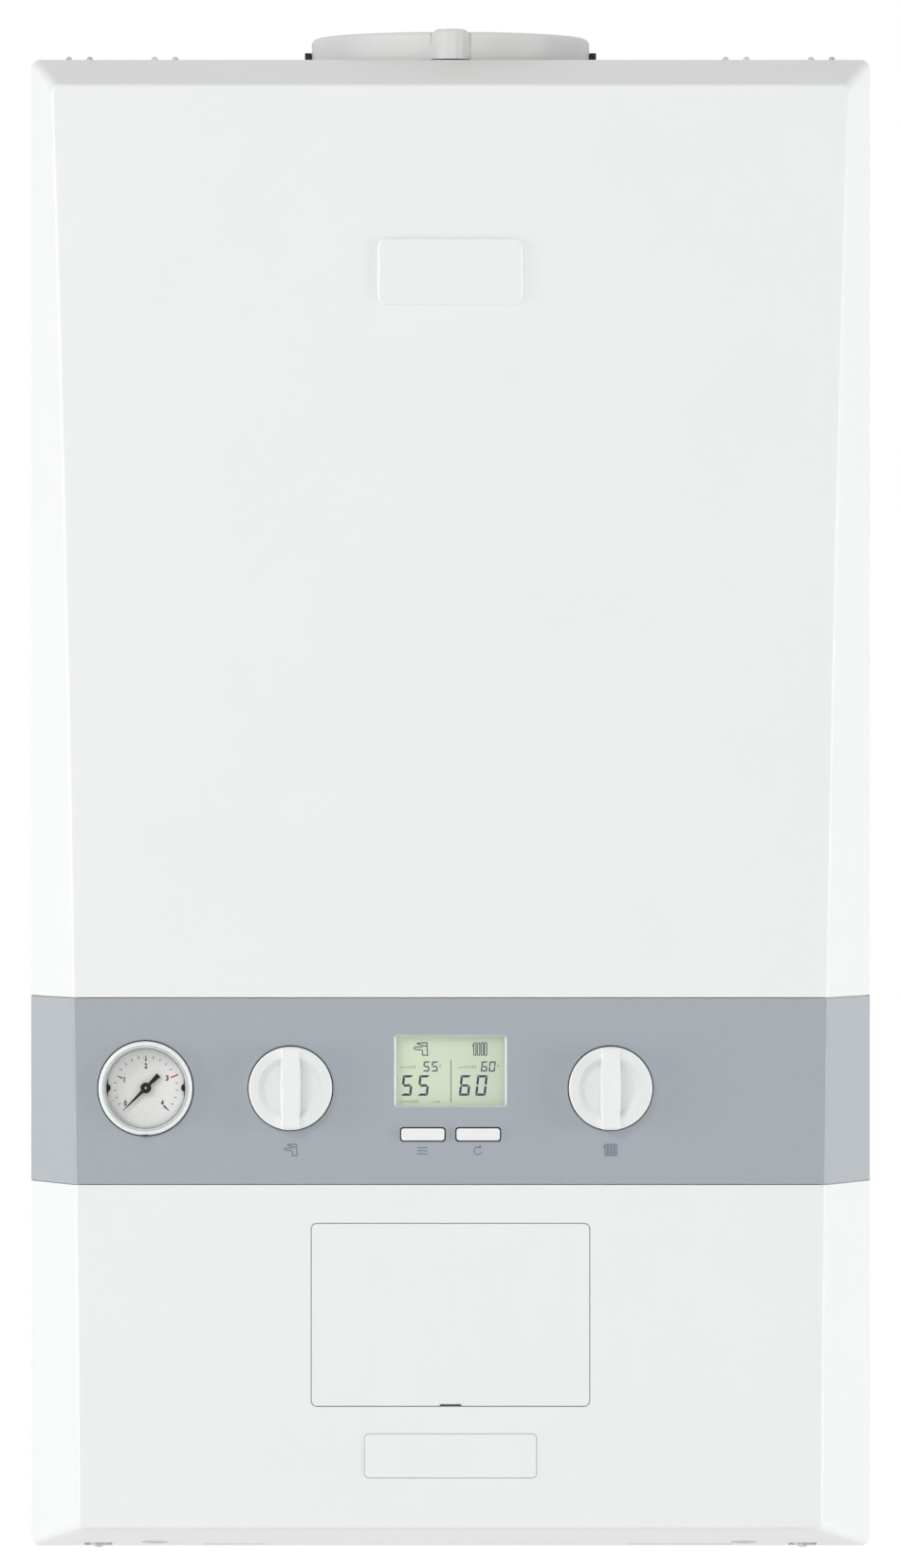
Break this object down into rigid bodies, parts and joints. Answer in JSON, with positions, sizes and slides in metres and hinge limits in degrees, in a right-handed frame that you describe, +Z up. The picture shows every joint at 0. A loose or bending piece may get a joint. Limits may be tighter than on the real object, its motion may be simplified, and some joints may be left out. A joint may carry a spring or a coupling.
{
  "type": "combination boiler",
  "caption": "Wall-hung combination boiler: white cover with sloped borders over a burner, pump and heat exchangers, a grey band of dials, display and buttons, and a flue collar on top.",
  "frame": {"origin": "on the wall plane, midway between the two fixing holes of the wall bracket", "axes": "+Z up, +Y into the wall, -Y out of the front, +X to the right seen from the front"},
  "size_m": [0.395, 0.286, 0.7204],
  "materials": {
    "white_enamel": "satin powder coat",
    "band_plastic": "fine matt grey moulding",
    "white_plastic": "satin white moulding",
    "clear_lens": "clear",
    "display_glass": "smooth",
    "dial_white": "printed",
    "black_plastic": "fine matt",
    "zinc_steel": "zinc plated",
    "foam_seal": "foam",
    "gasket_rubber": "matt",
    "collar_plastic": "smooth moulding",
    "flue_metal": "stainless",
    "cast_aluminium": "as cast",
    "copper": "drawn copper",
    "brass": "machined",
    "cast_iron": "painted casting",
    "red_enamel": "gloss",
    "red_plastic": "smooth",
    "board_green": "laminate",
    "board_parts": "moulded",
    "impeller_plastic": "moulded"
  },
  "bodies": {
    "casing": {"back_frame": "zinc_steel", "base_plate": "white_enamel", "board_components": "board_parts", "burner": "flue_metal", "burner_door": "cast_aluminium", "condensate_hose": "gasket_rubber", "condensate_trap": "collar_plastic", "control_boards": "board_green", "control_box": "black_plastic", "control_box_arms": "zinc_steel", "control_box_front": "black_plastic", "cover_clips": "zinc_steel", "cover_seal": "foam_seal", "display_module": "display_glass", "diverter_actuator": "black_plastic", "diverter_valve": "brass", "door_nuts": "zinc_steel", "exchanger_shelf": "zinc_steel", "expansion_vessel": "red_enamel", "fan_housing": "cast_aluminium", "fan_motor": "black_plastic", "flue_collar": "collar_plastic", "flue_duct": "flue_metal", "flue_gasket": "gasket_rubber", "gas_air_mixer": "cast_aluminium", "gas_pipes": "copper", "gas_valve": "cast_aluminium", "gauge_bezel": "white_plastic", "gauge_capillary": "copper", "gauge_case": "black_plastic", "gauge_dial": "dial_white", "gauge_lens": "clear_lens", "heat_exchanger": "flue_metal", "heating_pipes": "copper", "left_side_panel": "white_enamel", "plate_exchanger": "flue_metal", "pump_body": "cast_iron", "pump_motor": "black_plastic", "return_manifold": "brass", "right_side_panel": "white_enamel", "top_panel": "white_enamel", "vessel_hose": "gasket_rubber", "wall_bracket": "zinc_steel"},
    "front_cover": {"front_cover": "white_enamel", "control_fascia": "band_plastic", "display_window": "clear_lens", "blank_plates": "white_plastic", "timer_tray": "white_plastic", "cover_screws": "zinc_steel"},
    "timer_cover": {"timer_cover": "white_plastic"},
    "hot_water_knob": {"hot_water_knob": "white_plastic"},
    "heating_knob": {"heating_knob": "white_plastic"},
    "mode_button": {"mode_button": "white_plastic"},
    "restart_button": {"restart_button": "white_plastic"},
    "gauge_pointer": {"gauge_pointer": "black_plastic"},
    "fan_impeller": {"fan_impeller": "cast_aluminium"},
    "pump_impeller": {"pump_impeller": "impeller_plastic"},
    "relief_knob": {"relief_knob": "red_plastic"},
    "diverter_stem": {"diverter_stem": "brass"},
    "sampling_cap": {"sampling_cap": "collar_plastic"}
  },
  "joints": [
    {"name": "cover_pull", "type": "slide", "parent": "casing", "child": "front_cover", "axis": [0, -1, 0], "range_m": [0, 0.12]},
    {"name": "timer_cover_pull", "type": "slide", "parent": "front_cover", "child": "timer_cover", "axis": [0, -1, 0], "range_m": [0, 0.03]},
    {"name": "hot_water_turn", "type": "hinge", "parent": "casing", "child": "hot_water_knob", "pos_m": [-0.0745, -0.278, -0.4229], "axis": [0, 1, 0], "range_deg": [-135, 135]},
    {"name": "heating_turn", "type": "hinge", "parent": "casing", "child": "heating_knob", "pos_m": [0.0745, -0.278, -0.4229], "axis": [0, 1, 0], "range_deg": [-135, 135]},
    {"name": "mode_press", "type": "slide", "parent": "casing", "child": "mode_button", "axis": [0, 1, 0], "range_m": [0, 0.001], "stiffness_N_per_m": 400, "springref_m": -0.0015},
    {"name": "restart_press", "type": "slide", "parent": "casing", "child": "restart_button", "axis": [0, 1, 0], "range_m": [0, 0.001], "stiffness_N_per_m": 400, "springref_m": -0.0015},
    {"name": "pressure_turn", "type": "hinge", "parent": "casing", "child": "gauge_pointer", "pos_m": [-0.142, -0.27, -0.4229], "axis": [0, 1, 0], "range_deg": [0, 270], "stiffness_Nm_per_rad": 0.0005, "springref_deg": -28.65},
    {"name": "fan_spin", "type": "hinge", "parent": "casing", "child": "fan_impeller", "pos_m": [0.118, -0.21, -0.173], "axis": [0, 1, 0], "continuous": true},
    {"name": "pump_spin", "type": "hinge", "parent": "casing", "child": "pump_impeller", "pos_m": [0.128, -0.115, -0.535], "axis": [0, 1, 0], "continuous": true},
    {"name": "relief_turn", "type": "hinge", "parent": "casing", "child": "relief_knob", "pos_m": [-0.174, -0.14, -0.588], "axis": [0, -1, 0], "range_deg": [0, 90], "stiffness_Nm_per_rad": 0.05, "springref_deg": -17.19},
    {"name": "diverter_lift", "type": "slide", "parent": "casing", "child": "diverter_stem", "axis": [0, 0, 1], "range_m": [0, 0.006]},
    {"name": "sampling_cap_pull", "type": "slide", "parent": "casing", "child": "sampling_cap", "axis": [0, 0, 1], "range_m": [0, 0.015]}
  ]
}
